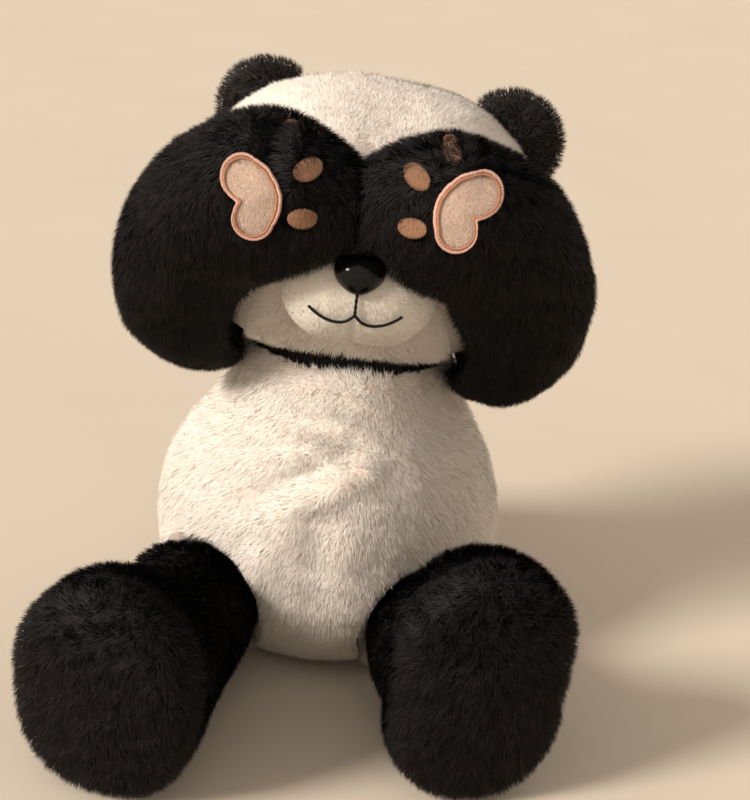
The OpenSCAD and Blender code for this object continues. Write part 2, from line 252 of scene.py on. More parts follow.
def normals(mesh):
    """A skin's normals: those it had before it was cut, if it was."""
    found = np.empty(len(mesh.vertices) * 3)
    if "lie" in mesh.attributes:
        mesh.attributes["lie"].data.foreach_get("vector", found)
    else:
        mesh.vertices.foreach_get("normal", found)
    return unit(found.reshape(-1, 3))


def keep_normals(mesh):
    """Stores a skin's normals before it is cut, because a cut turns those along its rim."""
    now = normals(mesh).astype(np.float32).ravel()
    mesh.attributes.new("lie", "FLOAT_VECTOR", "POINT").data.foreach_set("vector", now)


def add_object(name, mesh, *materials):
    obj = bpy.data.objects.new(name, mesh)
    bpy.context.collection.objects.link(obj)
    for material in materials:
        mesh.materials.append(material)
    return obj


def meshed(name, bm):
    """A mesh of what a bmesh holds, which is then freed."""
    mesh = bpy.data.meshes.new(name)
    bm.to_mesh(mesh)
    bm.free()
    return mesh


def triangles(mesh):
    """The vertices at the corners of a mesh's triangles, in one row."""
    mesh.calc_loop_triangles()
    corners = np.empty(len(mesh.loop_triangles) * 3, np.int32)
    mesh.loop_triangles.foreach_get("vertices", corners)
    return corners


def triangle_mesh(name, co, corners):
    """A mesh of triangles, from rows of coordinates and of the vertices at its corners."""
    mesh = bpy.data.meshes.new(name)
    mesh.vertices.add(len(co) // 3)
    mesh.vertices.foreach_set("co", co)
    mesh.loops.add(len(corners))
    mesh.loops.foreach_set("vertex_index", corners)
    starts = np.arange(0, len(corners), 3)
    mesh.polygons.add(len(starts))
    mesh.polygons.foreach_set("loop_start", starts)
    mesh.polygons.foreach_set("loop_total", np.full(len(starts), 3))
    mesh.update(calc_edges=True)
    return mesh


def rod_hull(one, detail=3):
    """The hull of a rod's two end balls, as a mesh."""
    bm = bmesh.new()
    for place, radius in ((one.start, one.start_r), (one.end, one.end_r)):
        spot = Matrix.Translation(Vector(place))
        bmesh.ops.create_icosphere(bm, subdivisions=detail, radius=radius, matrix=spot)
    bmesh.ops.delete(bm, geom=bm.edges[:] + bm.faces[:], context="EDGES_FACES")
    hull = bmesh.ops.convex_hull(bm, input=bm.verts[:])
    inside = [v for v in hull["geom_interior"] if isinstance(v, bmesh.types.BMVert)]
    bmesh.ops.delete(bm, geom=inside, context="VERTS")
    return meshed("hull", bm)


def settled(bm, modifiers):
    """A mesh from a bmesh with modifiers applied: pairs of a modifier's type and its settings."""
    bmesh.ops.recalc_face_normals(bm, faces=bm.faces)
    mesh = meshed("skin", bm)
    obj = add_object("skin", mesh)
    for kind, settings in modifiers:
        modifier = obj.modifiers.new(kind, kind)
        for key, value in settings.items():
            setattr(modifier, key, value)
    evaluated = obj.evaluated_get(bpy.context.evaluated_depsgraph_get())
    result = bpy.data.meshes.new_from_object(evaluated)
    bpy.data.objects.remove(obj)
    bpy.data.meshes.remove(mesh)
    return result


def stuffed_skin(rods, voxel=2.5 * MM, smooth=10):
    """One smooth closed skin round several rods."""
    bm = bmesh.new()
    for one in rods:
        hull = rod_hull(one)
        bm.from_mesh(hull)
        bpy.data.meshes.remove(hull)
    return settled(
        bm,
        (
            ("REMESH", {"mode": "VOXEL", "voxel_size": voxel}),
            ("SMOOTH", {"factor": 0.5, "iterations": smooth}),
        ),
    )


def part_of(mesh, point, normal):
    """The closed part of a skin on the side of a plane that the normal leaves."""
    if "lie" not in mesh.attributes:
        keep_normals(mesh)
    bm = bmesh.new()
    bm.from_mesh(mesh)
    cut = bmesh.ops.bisect_plane(
        bm,
        geom=bm.verts[:] + bm.edges[:] + bm.faces[:],
        plane_co=point,
        plane_no=normal,
        clear_outer=True,
    )
    rim = [e for e in cut["geom_cut"] if isinstance(e, bmesh.types.BMEdge)]
    bmesh.ops.holes_fill(bm, edges=rim, sides=0)
    return meshed("skin", bm)


# ---- patches sewn on a ball: pads, toe pads and the rings round the eyes ----

Patch = namedtuple("Patch", "centre radius right up out middle turn outline")
HEART_CIRCLES = (
    (3.4, 8.0, 7.6), (1.9, 6.2, 8.0), (0.4, 4.4, 8.3), (-0.9, 1.6, 8.2),
    (-1.4, -0.5, 8.0), (-0.9, -2.6, 7.9), (0.2, -4.6, 7.8), (2.0, -7.7, 7.35),
)


def heart(angle):
    """Distance of a heart pad's edge from its middle: circles round a bend, notched at angle 0."""
    far = np.zeros_like(angle)
    for x, z, r in HEART_CIRCLES:
        along = x * np.cos(angle) + z * np.sin(angle)
        inside = r * r - x * x - z * z + along**2
        far = np.maximum(far, np.where(inside > 0, along + np.sqrt(np.maximum(inside, 0)), 0))
    from_notch = (angle + math.pi) % (2 * math.pi) - math.pi
    return far * (1 - 0.2 * bell(from_notch, 0.25)) * MM


def oval(wide, high):
    def outline(angle):
        return wide * high * MM / np.hypot(high * np.cos(angle), wide * np.sin(angle))

    return outline


def on_patch(patch, angle, reach, proud):
    """Points of a patch at an angle, at a distance from its middle, and proud of its ball."""
    a, b = np.cos(angle) * reach, np.sin(angle) * reach
    c, s = math.cos(patch.turn), math.sin(patch.turn)
    a, b = a * c - b * s + patch.middle[0], a * s + b * c + patch.middle[1]
    rise = np.sqrt(np.maximum(patch.radius**2 - a * a - b * b, 1e-8))
    flat = np.outer(a, patch.right) + np.outer(b, patch.up) + np.outer(rise, patch.out)
    return patch.centre + flat * (1 + proud / patch.radius + np.zeros_like(angle))[:, None]


def patch_margin(points, patch):
    """How far points lie outside a patch's outline, seen along its outward direction."""
    away = points - patch.centre
    scale = patch.radius / np.maximum(np.linalg.norm(away, axis=1), 1e-9)
    a = away @ patch.right * scale - patch.middle[0]
    b = away @ patch.up * scale - patch.middle[1]
    c, s = math.cos(-patch.turn), math.sin(-patch.turn)
    a, b = a * c - b * s, a * s + b * c
    margin = np.hypot(a, b) - patch.outline(np.arctan2(b, a))
    return np.where(away @ patch.out > 0, margin, 1.0)


def patch_skin(patch, height, edge, rings=9, around=96):
    """A crowned pad on a patch: edge is how far it rises within its border."""
    bm = bmesh.new()
    bmesh.ops.create_circle(bm, cap_ends=True, radius=1, segments=around)
    for _ in range(rings):
        bmesh.ops.inset_region(bm, faces=[max(bm.faces, key=lambda f: len(f.verts))], thickness=0.098)
    bmesh.ops.poke(bm, faces=[f for f in bm.faces if len(f.verts) > 4])
    mesh = meshed("pad", bm)
    flat = coords(mesh)
    angle = np.arctan2(flat[:, 1], flat[:, 0])
    share = np.hypot(flat[:, 0], flat[:, 1])
    crown = height * np.clip((1 - share) / edge, 0, 1) ** 0.5
    set_coords(mesh, on_patch(patch, angle, share * patch.outline(angle), crown))
    if np.cross(patch.right, patch.up) @ patch.out < 0:
        mesh.flip_normals()
    return mesh


def bead():
    """A slender bead of half length 1 along X, which every stitch copies."""
    bm = bmesh.new()
    bmesh.ops.create_uvsphere(bm, u_segments=8, v_segments=6, radius=1)
    mesh = meshed("bead", bm)
    corner = sorted(triangles(mesh).reshape(-1, 3).tolist())  # Blender's order varies
    return coords(mesh), np.array(corner)


def thread_piece(name, stitches, material):
    """A piece of stitches, each given by its start, its end, the way up and its thickness."""
    place, corner = bead()
    start, end, up = (np.array([s[i] for s in stitches]) for i in range(3))
    thick = np.array([s[3] for s in stitches])
    length = np.linalg.norm(end - start, axis=1)
    along = unit(end - start)
    side = unit(np.cross(up, along))
    rise = np.cross(along, side)
    size = np.stack([length / 2 + thick * 0.3, thick / 2, thick / 2], 1)
    frames = np.stack([along, side, rise], 1) * size[:, :, None]
    spots = (start + end)[:, None] / 2 + np.einsum("vk,skx->svx", place, frames)
    faces = corner[None] + (np.arange(len(stitches)) * len(place))[:, None, None]
    mesh = triangle_mesh(name, spots.ravel(), faces.ravel())
    mesh.shade_smooth()
    return add_object(name, mesh, material)


# ---- plush pile ----

Pile = namedtuple("Pile", "per_cm2 length width lean curl clump clump_gap swirl frizz shade")
BLACK_PILE = Pile(308, 6.0 * MM, 0.26 * MM, 0.42, 0.28, 0.24, 3.4 * MM, 0.35, 0.50, 0.50)
EAR_PILE = Pile(400, 5.0 * MM, 0.24 * MM, 0.30, 0.25, 0.24, 3.0 * MM, 0.40, 0.60, 0.45)
YOKE_PILE = Pile(360, 2.4 * MM, 0.30 * MM, 0.75, 0.10, 0.05, 3.0 * MM, 0.10, 0.10, 0.20)
WHITE_PILE = Pile(428, 5.0 * MM, 0.235 * MM, 0.50, 0.32, 0.16, 2.4 * MM, 0.28, 0.50, 0.30)
FACE_PILE = Pile(485, 3.4 * MM, 0.23 * MM, 0.62, 0.22, 0.10, 2.6 * MM, 0.20, 0.22, 0.20)
REAR_PILE = Pile(210, 6.0 * MM, 0.335 * MM, 0.46, 0.30, 0.24, 3.4 * MM, 0.30, 0.50, 0.35)
PAD_PILE = Pile(1300, 1.1 * MM, 0.18 * MM, 0.50, 0.20, 0.05, 1.5 * MM, 0.20, 0.30, 0.15)
SHORT_PILE = Pile(560, 2.2 * MM, 0.23 * MM, 0.66, 0.15, 0.06, 2.5 * MM, 0.12, 0.15, 0.12)
PATCH_PILE = Pile(420, 2.4 * MM, 0.26 * MM, 0.45, 0.20, 0.15, 2.5 * MM, 0.25, 0.50, 0.3)
DENSITY = 1.0


def unit(a):
    return a / np.maximum(np.linalg.norm(a, axis=-1, keepdims=True), 1e-12)


def waves(points, size, rng, count=11):
    """A smooth random vector at each point, which changes over about the given size."""
    total = np.zeros_like(points)
    for _ in range(count):
        wave = unit(rng.normal(size=3)) * (2 * math.pi / (size * rng.uniform(0.7, 1.6)))
        total += np.sin(points @ wave + rng.uniform(0, 6.28))[:, None] * rng.normal(size=3)
    return total / math.sqrt(count)


def sheer(vectors, normals):
    """What is left of vectors along a surface."""
    return vectors - normals * np.sum(vectors * normals, axis=1)[:, None]


def scatter(mesh, per_cm2, rng, weight):
    """Random roots on a skin: their places and normals."""
    tri = triangles(mesh).reshape(-1, 3)
    co = coords(mesh)
    normal = normals(mesh)
    a, b, c = co[tri[:, 0]], co[tri[:, 1]], co[tri[:, 2]]
    share = np.linalg.norm(np.cross(b - a, c - a), axis=1) / 2
    share = share * weight((a + b + c) / 3)
    count = int(share.sum() * 1e4 * per_cm2)
    face = rng.choice(len(tri), count, p=share / share.sum())
    u = np.sqrt(rng.random(count))[:, None]
    w = rng.random(count)[:, None]
    mix = (1 - u, u * (1 - w), u * w)
    place = sum(m * co[tri[face, i]] for i, m in enumerate(mix))
    lean = sum(m * normal[tri[face, i]] for i, m in enumerate(mix))
    return place, unit(lean)


def leaders(place, count, rng):
    """For each root, the index of the root whose tip it leans to."""
    chosen = rng.choice(len(place), min(count, len(place)), replace=False)
    tree = kdtree.KDTree(len(chosen))
    for i, j in enumerate(chosen):
        tree.insert(place[j], i)
    tree.balance()
    near = np.fromiter((tree.find(p)[1] for p in place), np.int64, len(place))
    return chosen[near]


def one_way(*direction):
    """A comb that lays all of the pile the same way."""

    def comb(place, normal):
        return np.tile(direction, (len(place), 1))

    return comb


comb_down = one_way(0.0, 0.0, -1.0)


def even(place):
    return np.ones(len(place))


def crushed(place):
    """The share of the pile that stays where the toy sits on it."""
    return np.where(place[:, 2] < CRUSHED_BELOW, 0.25, 1.0)


def short_under(place):
    """The pile's length near what the toy sits on."""
    return np.clip(place[:, 2] / SHORT_BELOW, 0.2, 1)


def clear_of(rods):
    """A weight that leaves out the pile inside some rods."""

    def weight(place):
        return clearance(place, rods) > 0

    return weight


def grow_pile(name, skin, pile, tones, seed, comb=comb_down, off=(), length=even, weight=even):
    """The piece of a skin with its pile: each strand is a slender leaf of two triangles.

    The comb gives the way the pile lies, and is short where it stands upright.
    """
    rng = np.random.default_rng(seed)
    root, normal = scatter(skin, pile.per_cm2 * DENSITY, rng, weight)
    count = len(root)
    combed = sheer(comb(root, normal), normal)
    combed = combed / np.maximum(np.linalg.norm(combed, axis=1), 1)[:, None]
    swirl = waves(root, 45 * MM, rng) * pile.swirl + waves(root, 7 * MM, rng) * pile.frizz
    flow = unit(combed + sheer(swirl, normal) * 0.6 + sheer(rng.normal(size=(count, 3)), normal) * 0.2)
    lean = pile.lean * (0.45 + 0.55 * np.linalg.norm(combed, axis=1))[:, None]
    tall = pile.length * length(root) * rng.uniform(0.72, 1.12, count)
    rise = unit(normal * (1 - lean) + flow * lean + rng.normal(size=(count, 3)) * 0.15)
    bend = (tall * pile.curl)[:, None]
    middle = root + rise * (tall * 0.45)[:, None]
    tip = root + rise * tall[:, None] + flow * bend - normal * bend * 0.35
    lead = leaders(root, int(count / (pile.per_cm2 * DENSITY * (pile.clump_gap * 100) ** 2)) + 8, rng)
    pull = (pile.clump * rng.uniform(0.4, 1.0, count))[:, None]
    tuft = tip[lead] - root[lead]
    tip += (root[lead] * 0.75 + root * 0.25 + tuft - tip) * pull
    middle += (root[lead] * 0.5 + root * 0.5 + tuft * 0.5 - middle) * pull * 0.4
    if off:
        middle = laid_down(middle, root, normal, off)
        tip = laid_down(tip, root, normal, off)
    broad = unit(np.cross(tip - root, normal + rng.normal(size=(count, 3)) * 0.12))
    thin = unit(np.cross(tip - root, broad))
    twist = rng.uniform(-0.8, 0.8, count)[:, None]
    across = broad * np.cos(twist) + thin * np.sin(twist)
    half = (pile.width * rng.uniform(0.35, 0.65, count) / math.sqrt(DENSITY))[:, None] * across
    leaf = np.stack([root, middle + half, middle - half, tip], 1)

    skin_co = coords(skin)
    skin_normal = normals(skin).ravel()
    skin_tri = triangles(skin)
    first = np.arange(count) * 4 + len(skin_co)
    lower = np.stack([first, first + 1, first + 2], 1)
    upper = np.stack([first + 2, first + 1, first + 3], 1)
    corners = np.concatenate([skin_tri, lower.ravel(), upper.ravel()])
    mesh = triangle_mesh(name, np.concatenate([skin_co.ravel(), leaf.ravel()]), corners)
    tip_tone = rng.integers(2, len(tones), count)
    slots = np.concatenate([np.zeros(len(skin_tri) // 3), np.ones(count), tip_tone])
    mesh.polygons.foreach_set("material_index", slots.astype(np.int32))
    soft = unit(normal + sheer(unit(tuft), normal) * pile.shade + rng.normal(size=(count, 3)) * 0.12)
    shading = np.concatenate([skin_normal, np.repeat(soft, 4, axis=0).ravel()])
    attribute = mesh.attributes.new("custom_normal", "FLOAT_VECTOR", "POINT")
    attribute.data.foreach_set("vector", shading.astype(np.float32))
    return add_object(name, mesh, *tones)


def join_frame(piece, body, nodes):
    """Puts a finished piece on its body, if it isn't blended, for the nodes that it stands for."""
    if body:
        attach(piece, body)
    if nodes:
        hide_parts(*nodes)
    return piece


# ---- shader maths ----


class Shade:
    """A material's nodes, made by one call each."""

    def __init__(self, name):
        self.material = bpy.data.materials.new(name)
        self.material.use_nodes = True
        self.tree = self.material.node_tree
        self.surface = self.tree.nodes["Principled BSDF"]

    def set(self, **values):
        for key, value in values.items():
            self.surface.inputs[key.replace("_", " ")].default_value = value
        return self

    def node(self, kind, settings=None, **inputs):
        made = self.tree.nodes.new(kind)
        for key, value in (settings or {}).items():
            setattr(made, key, value)
        for key, value in inputs.items():
            self.feed(made.inputs[key.replace("_", " ")], value)
        return made

    def feed(self, socket, value):
        if isinstance(value, Num):
            self.tree.links.new(value.socket, socket)
        elif isinstance(value, bpy.types.NodeSocket):
            self.tree.links.new(value, socket)
        else:
            socket.default_value = value

    def place(self):
        return self.node("ShaderNodeTexCoord").outputs["Object"]

    def noise(self, scale, detail=2.0, roughness=0.5):
        made = self.node(
            "ShaderNodeTexNoise", Vector=self.place(), Scale=scale, Detail=detail, Roughness=roughness
        )
        return Num(self, made.outputs["Fac"])

    def wave(self, scale, axis, distortion=0.0):
        made = self.node(
            "ShaderNodeTexWave",
            {"wave_type": "BANDS", "bands_direction": axis},
            Vector=self.place(),
            Scale=scale,
            Distortion=distortion,
        )
        return Num(self, made.outputs["Fac"])

    def blend(self, amount, low, high):
        made = self.node("ShaderNodeMix", {"data_type": "RGBA"})
        self.feed(made.inputs["Factor"], amount)
        self.feed(made.inputs[6], low)
        self.feed(made.inputs[7], high)
        return made.outputs[2]

    def colour(self, amount, low, high):
        self.feed(self.surface.inputs["Base Color"], self.blend(amount, (*low, 1), (*high, 1)))

    def roughness(self, value):
        self.feed(self.surface.inputs["Roughness"], value)

    def bump(self, height, distance, strength=1.0):
        made = self.node("ShaderNodeBump", Height=height, Distance=distance, Strength=strength)
        self.feed(self.surface.inputs["Normal"], made.outputs["Normal"])


class Num:
    """A number over a surface, so that an expression on it adds its Math nodes."""

    def __init__(self, shade, socket):
        self.shade = shade
        self.socket = socket

    def math(self, operation, *values):
        made = self.shade.node("ShaderNodeMath", {"operation": operation})
        for socket, value in zip(made.inputs, values):
            self.shade.feed(socket, value)
        return Num(self.shade, made.outputs[0])

    def __add__(self, other):
        return self.math("ADD", self, other)

    def __mul__(self, other):
        return self.math("MULTIPLY", self, other)

    def __rsub__(self, other):
        return self.math("SUBTRACT", other, self)


# ---- materials ----


def tone(name, colour, roughness, specular, sheen=0.0):
    return (
        Shade(name)
        .set(Base_Color=(*colour, 1), Roughness=roughness, Specular_IOR_Level=specular, Sheen_Weight=sheen)
        .material
    )


# A pile's name, the cloth under it, the strands' lower halves, a few shades of tip, and its gloss.
PILE_COLOURS = (
    (
        "black_pile", (0.003, 0.0026, 0.0026), (0.005, 0.0044, 0.0044),
        ((0.006, 0.0052, 0.0052), (0.010, 0.0086, 0.0088), (0.022, 0.0185, 0.0185)), 0.65, 0.13,
    ),
    # The ear pile is lighter and browner than the black pile: partly the ears' own browner tone, partly
    # painted sheen of light from behind them.
    (
        "ear_pile", (0.004, 0.0034, 0.0033), (0.008, 0.0068, 0.0064),
        ((0.014, 0.0115, 0.0105), (0.024, 0.020, 0.018), (0.036, 0.030, 0.027)), 0.65, 0.13,
    ),
    # The white pile's cloth and lower halves are darker and warmer than its tips: painted warm shade in
    # the partings, on top of the shade that the strands cast.
    (
        "white_pile", (0.74, 0.61, 0.51), (0.79, 0.68, 0.58),
        ((0.81, 0.73, 0.64), (0.84, 0.77, 0.69), (0.86, 0.81, 0.74)),
    ),
    (
        "cream_pile", (0.80, 0.71, 0.60), (0.83, 0.75, 0.65),
        ((0.85, 0.79, 0.70), (0.87, 0.82, 0.74)),
    ),
    (
        "beige_velour", (0.62, 0.43, 0.32), (0.66, 0.48, 0.37),
        ((0.69, 0.52, 0.41), (0.72, 0.55, 0.44), (0.74, 0.58, 0.48)),
    ),
)


def pile_tones(name, skin, lower, tips, roughness=0.75, specular=0.25):
    made = [tone(name + "_cloth", skin, 0.9, 0.1), tone(name + "_lower", lower, roughness, specular)]
    for i, tip in enumerate(tips):
        made.append(tone(f"{name}_tip_{i + 1}", tip, roughness, specular))
    return made


def thread_finish(name, low, high, specular=0.4, sheen=0.2):
    """Twisted embroidery thread: fine turns, and a shade that changes from stitch to stitch."""
    shade = Shade(name).set(Roughness=0.45, Specular_IOR_Level=specular, Sheen_Weight=sheen)
    shade.colour(shade.noise(900, 1.0), low, high)
    shade.bump(shade.wave(1600, "DIAGONAL", 1.5) + shade.noise(4000) * 0.5, 0.0001, 0.6)
    return shade.material


def gloss_plastic():
    """Moulded black plastic with a faint flow in its gloss."""
    shade = Shade("black_gloss_plastic").set(Specular_IOR_Level=0.14, Coat_Roughness=0.05)
    shade.colour(shade.noise(60), (0.002, 0.0018, 0.0018), (0.005, 0.0045, 0.0045))
    shade.roughness(shade.noise(220, 3.0) * 0.08 + 0.10)
    shade.feed(shade.surface.inputs["Coat Weight"], 0.1)
    shade.bump(shade.noise(500, 2.0), 0.0001, 0.15)
    return shade.material


def steel():
    shade = Shade("magnet_steel").set(Metallic=1.0)
    shade.colour(shade.noise(300), (0.50, 0.50, 0.51), (0.60, 0.60, 0.61))
    shade.roughness(shade.noise(900, 3.0) * 0.15 + 0.25)
    return shade.material


def washer_plastic():
    shade = Shade("washer_plastic").set(Specular_IOR_Level=0.4)
    shade.colour(shade.noise(200), (0.70, 0.70, 0.68), (0.79, 0.79, 0.77))
    shade.roughness(shade.noise(700) * 0.12 + 0.42)
    return shade.material


def pouch_cotton():
    """Plain woven cotton: threads that cross about twice a millimetre."""
    shade = Shade("pouch_cotton").set(Roughness=0.9, Sheen_Weight=0.2)
    weave = shade.wave(330, "X", 0.3) * shade.wave(330, "Z", 0.3)
    shade.colour(weave, (0.70, 0.65, 0.56), (0.84, 0.80, 0.72))
    shade.bump(weave, 0.0002, 0.5)
    return shade.material


def pellets():
    """Rounded plastic pellets about 3 mm across."""
    shade = Shade("pellets").set(Roughness=0.45)
    cells = shade.node("ShaderNodeTexVoronoi", Vector=shade.place(), Scale=330.0)
    edge = Num(shade, cells.outputs["Distance"])
    # Light in each pellet's middle and dark towards its edge: painted shade in the gaps between pellets.
    shade.colour(edge, (0.68, 0.72, 0.76), (0.36, 0.39, 0.42))
    shade.bump(1.0 - edge, 0.001, 0.7)
    return shade.material


def dress(material, *nodes):
    """Gives CAD nodes that are left showing their finish."""
    for node in nodes:
        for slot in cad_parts[node].material_slots:
            slot.material = material


# ---- torso ----


def leg_room():
    """What the legs and their swing press out of the torso, with its pile."""
    sweep = 2 * math.sin(math.radians(SWING_HALF))
    return [leg_rods(side, SWING_MIDDLE, leg.length * sweep)[0] for side, leg in LEGS.items()]


Fold = namedtuple("Fold", "path width height")
BELLY_FOLDS = (
    Fold(((-30, -70, 93), (5, -61, 115)), 8, -4.4),
    Fold(((-25, -75, 88), (16, -65, 108)), 6, 2.8),
    Fold(((-2, -78, 86), (0, -85, 52)), 9, -3.6),
    Fold(((-31, -79, 54), (-19, -79, 82)), 7, 2.4),
)


def torso_skin():
    skin = stuffed_skin(grown(TORSO, -CLOTH))
    co = keep_off(coords(skin), leg_room(), CLOTH)
    away = normals(skin)
    for fold in BELLY_FOLDS:
        co = swell(co, away, *fold)
    sag = bell(co[:, 2] - 60 * MM, 42 * MM) * ramp(co[:, 0], 0, -70)
    co[:, 0] -= 2.5 * MM * sag
    tuck = ramp(co[:, 2], 30, 0) ** 2 * 0.17
    co[:, :2] *= (1 - tuck)[:, None]
    co += waves(co, 60 * MM, np.random.default_rng(3)) * 0.9 * MM
    co[:, 2] = np.maximum(co[:, 2], SKIN_FLOOR)
    set_coords(skin, co)
    return skin


def make_torso(white, black):
    skin = torso_skin()
    off = grown(leg_room(), 0.4 * MM) + grown(HEAD, 3 * MM)
    upper = part_of(skin, (0, 0, YOKE_Z), (0, 0, -1))
    lower = part_of(skin, (0, 0, YOKE_Z), (0, 0, 1))
    belly = part_of(lower, (0, 0, 0), (0, 1, 0))
    back = part_of(lower, (0, 0, 0), (0, -1, 0))

    def cut_bare(place):
        sides = np.abs(place[:, 1]) > SEAM_BARE
        top = place[:, 2] < YOKE_Z - 0.4 * MM
        hidden = np.where(clearance(place, leg_room()) < 6 * MM, 0.4, 1.0)
        return crushed(place) * sides * top * hidden

    def short_ends(place):
        """Short where it is sat on, and at the top, apart from a fringe in the middle."""
        top = ramp(place[:, 2], 136, 144)
        fringe = bell(place[:, 0] - 4 * MM, 17 * MM)
        flank = ramp(np.abs(place[:, 0]), 38, 44)
        return short_under(place) * (1 - top * (0.5 - 0.75 * fringe - 0.8 * flank))

    def belly_comb(place, normal):
        """Upright on the chest, brushed down and outward below, and up over the yoke's edge."""
        down = np.maximum(ramp(place[:, 2], 128, 83), 0.1)
        down = np.minimum(down + 0.7 * ramp(np.abs(place[:, 0] - 5 * MM), 0, 40), 1)
        flow = unit(vectors((place[:, 0] - 15 * MM) * 14, 0, -1)) * down[:, None]
        flow[:, 2] += ramp(place[:, 2], 136, 144) * 0.9
        return flow

    front = grow_pile("belly_plush", belly, WHITE_PILE, white, 11, belly_comb, off, short_ends, cut_bare)
    join_frame(front, "torso", ["belly_panel", "torso_stuffing", "seat_panel"])
    rear = grow_pile("back_plush", back, REAR_PILE, white, 12, comb_down, off, short_ends, cut_bare)
    join_frame(rear, "torso", ["back_panel"])

    def yoke_weight(place):
        return (place[:, 2] > YOKE_Z + 0.2 * MM) * np.where(place[:, 2] < 168 * MM, 1.0, 0.1)

    def beside_neck(place):
        """The yoke's pile is longer beside the neck, where it closes the gap under the arms."""
        return 1 + 1.8 * ramp(np.abs(place[:, 0]), 36, 44)

    yoke_off = grown(HEAD, 2 * MM)
    yoke = grow_pile(
        "yoke_plush", upper, YOKE_PILE, black, 13, comb_down, yoke_off, beside_neck, yoke_weight
    )
    join_frame(yoke, "torso", ["shoulder_yoke"])


def make_tail(white):
    skin = stuffed_skin([rod((0, 82.3, 40), (0, 82.3, 40.5), 13)], 1.5 * MM, 2)
    tail = grow_pile("tail_plush", skin, WHITE_PILE, white, 14, off=TORSO[:1])
    join_frame(tail, "torso", ["tail"])


# ---- head ----


JOWLS = Fold(
    (
        (-64, -14, 172), (-49.5, -36.6, 166.3), (-20, -47, 164.5),
        (20, -47, 164.5), (49.5, -36.6, 166.3), (64, -14, 172),
    ),
    13,
    4.2,
)


def make_head(white):
    skin = stuffed_skin(grown(HEAD, -CLOTH))
    away = normals(skin)
    co = swell(coords(skin), away, *JOWLS)
    co = over_magnets(co, away, "face_magnets", 2.3)
    co = keep_off(co, NECK_BALL, 0.4 * MM + CLOTH)
    co += waves(co, 50 * MM, np.random.default_rng(4)) * 0.7 * MM
    set_coords(skin, co)
    middle_y = HEAD_MIDDLE[1] * MM
    face = part_of(skin, (0, middle_y, 0), (0, 1, 0))
    back = part_of(skin, (0, middle_y, 0), (0, -1, 0))
    arms = grown(LEFT_ARM + RIGHT_ARM, 1 * MM)
    off = arms + grown(MUZZLE, 0.3 * MM) + grown(NECK_BALL, 0.5 * MM)
    patches = [eye_patch(side, 0) for side in LEGS]

    def weight(place):
        seam = np.abs(place[:, 1] - middle_y) > SEAM_BARE
        under = np.where(clearance(place, NECK_BALL) < 5 * MM, 0.15, 1.0)
        covered = np.where(clearance(place, arms) < 1 * MM, 0.75, 1.0)
        share = seam * under * covered * (clearance(place, MUZZLE) > -1 * MM)
        for patch in patches:
            share = share * (patch_margin(place, patch) > 0)
        return share

    def cheeks(place):
        """The pile is left longer on the cheeks and the chin."""
        low = ramp(place[:, 2], 196, 174)
        forward = ramp(place[:, 1], 0, -30)
        seam = bell(place[:, 1] - middle_y, 9 * MM)
        return 1 + 0.4 * low * forward + 0.3 * seam

    def behind(place):
        """The pile grows longer away from the seam."""
        return np.clip(0.38 + (place[:, 1] - middle_y) / (50 * MM), 0.38, 1)

    def face_comb(place, normal):
        return vectors(place[:, 0] * 9, ramp(place[:, 2], 230, 260) * 0.9, -0.35) * 0.8

    front = grow_pile("face_plush", face, FACE_PILE, white, 21, face_comb, off, cheeks, weight)
    join_frame(front, "head", ["face_panel", "head_stuffing"])
    rear = grow_pile("head_back_plush", back, REAR_PILE, white, 22, comb_down, off, behind, weight)
    join_frame(rear, "head", ["head_back_panel"])


EARS = {"left": (63, 251.3), "right": (-49, 252.8)}
EAR_R = 21.5
EAR_Y = 4


def make_ear(side, black, seed):
    x, z = EARS[side]
    bm = bmesh.new()
    bmesh.ops.create_icosphere(bm, subdivisions=5, radius=1.0)
    bmesh.ops.scale(bm, vec=(EAR_R * MM, 6 * MM, EAR_R * MM), verts=bm.verts)
    bmesh.ops.translate(bm, vec=(x * MM, EAR_Y * MM, z * MM), verts=bm.verts)
    skin = settled(bm, ())
    co = coords(skin)
    middle = at(x, EAR_Y, z)
    reach = np.linalg.norm((co - middle)[:, (0, 2)], axis=1) / (20 * MM)
    front = co[:, 1] < middle[1]
    co[:, 1] += np.where(front, 4.5 * MM, 1.5 * MM) * np.clip(1 - reach**2, 0, 1)
    set_coords(skin, co)

    def outward(place, normal):
        return (place - middle + at(0, 0, 4)) * 45

    bare = clear_of(grown(HEAD, -2 * MM))
    ear = grow_pile(side + "_ear_plush", skin, EAR_PILE, black, seed, outward, weight=bare)
    join_frame(ear, "head", [side + "_ear"])


EYE_SIDE = 12
EYE_UP = 17


def eye_patch(side, proud):
    """The black patch round an eye: an oval that slants down and outward."""
    mirror = SIDES[side]
    forward = math.sqrt(HEAD_R**2 - EYE_SIDE**2 - EYE_UP**2)
    far = math.hypot(EYE_SIDE, forward)
    out = np.array((EYE_SIDE * mirror, -forward, EYE_UP)) / HEAD_R
    right = np.array((forward * mirror, EYE_SIDE, 0)) / far
    rise = np.array((-EYE_SIDE * EYE_UP * mirror, forward * EYE_UP, far**2)) / (far * HEAD_R)
    centre = at(HEAD_ENDS * mirror, *HEAD_MIDDLE[1:])
    radius = (HEAD_R + proud) * MM
    return Patch(centre, radius, right, rise, out, (0, 0), math.radians(-60), oval(18.5, 13.6))


def make_eye_patch(side, black, seed):
    skin = patch_skin(eye_patch(side, 0.2), 1.0 * MM, 0.3, 7, 72)
    eye = eye_patch(side, 0)._replace(outline=oval(6.5, 6.5))

    def weight(place):
        return (clearance(place, MUZZLE) > 0) * (patch_margin(place, eye) > 0)

    patch = grow_pile(side + "_eye_patch_plush", skin, PATCH_PILE, black, seed, comb_down, weight=weight)
    join_frame(patch, "head", [side + "_eye_patch"])


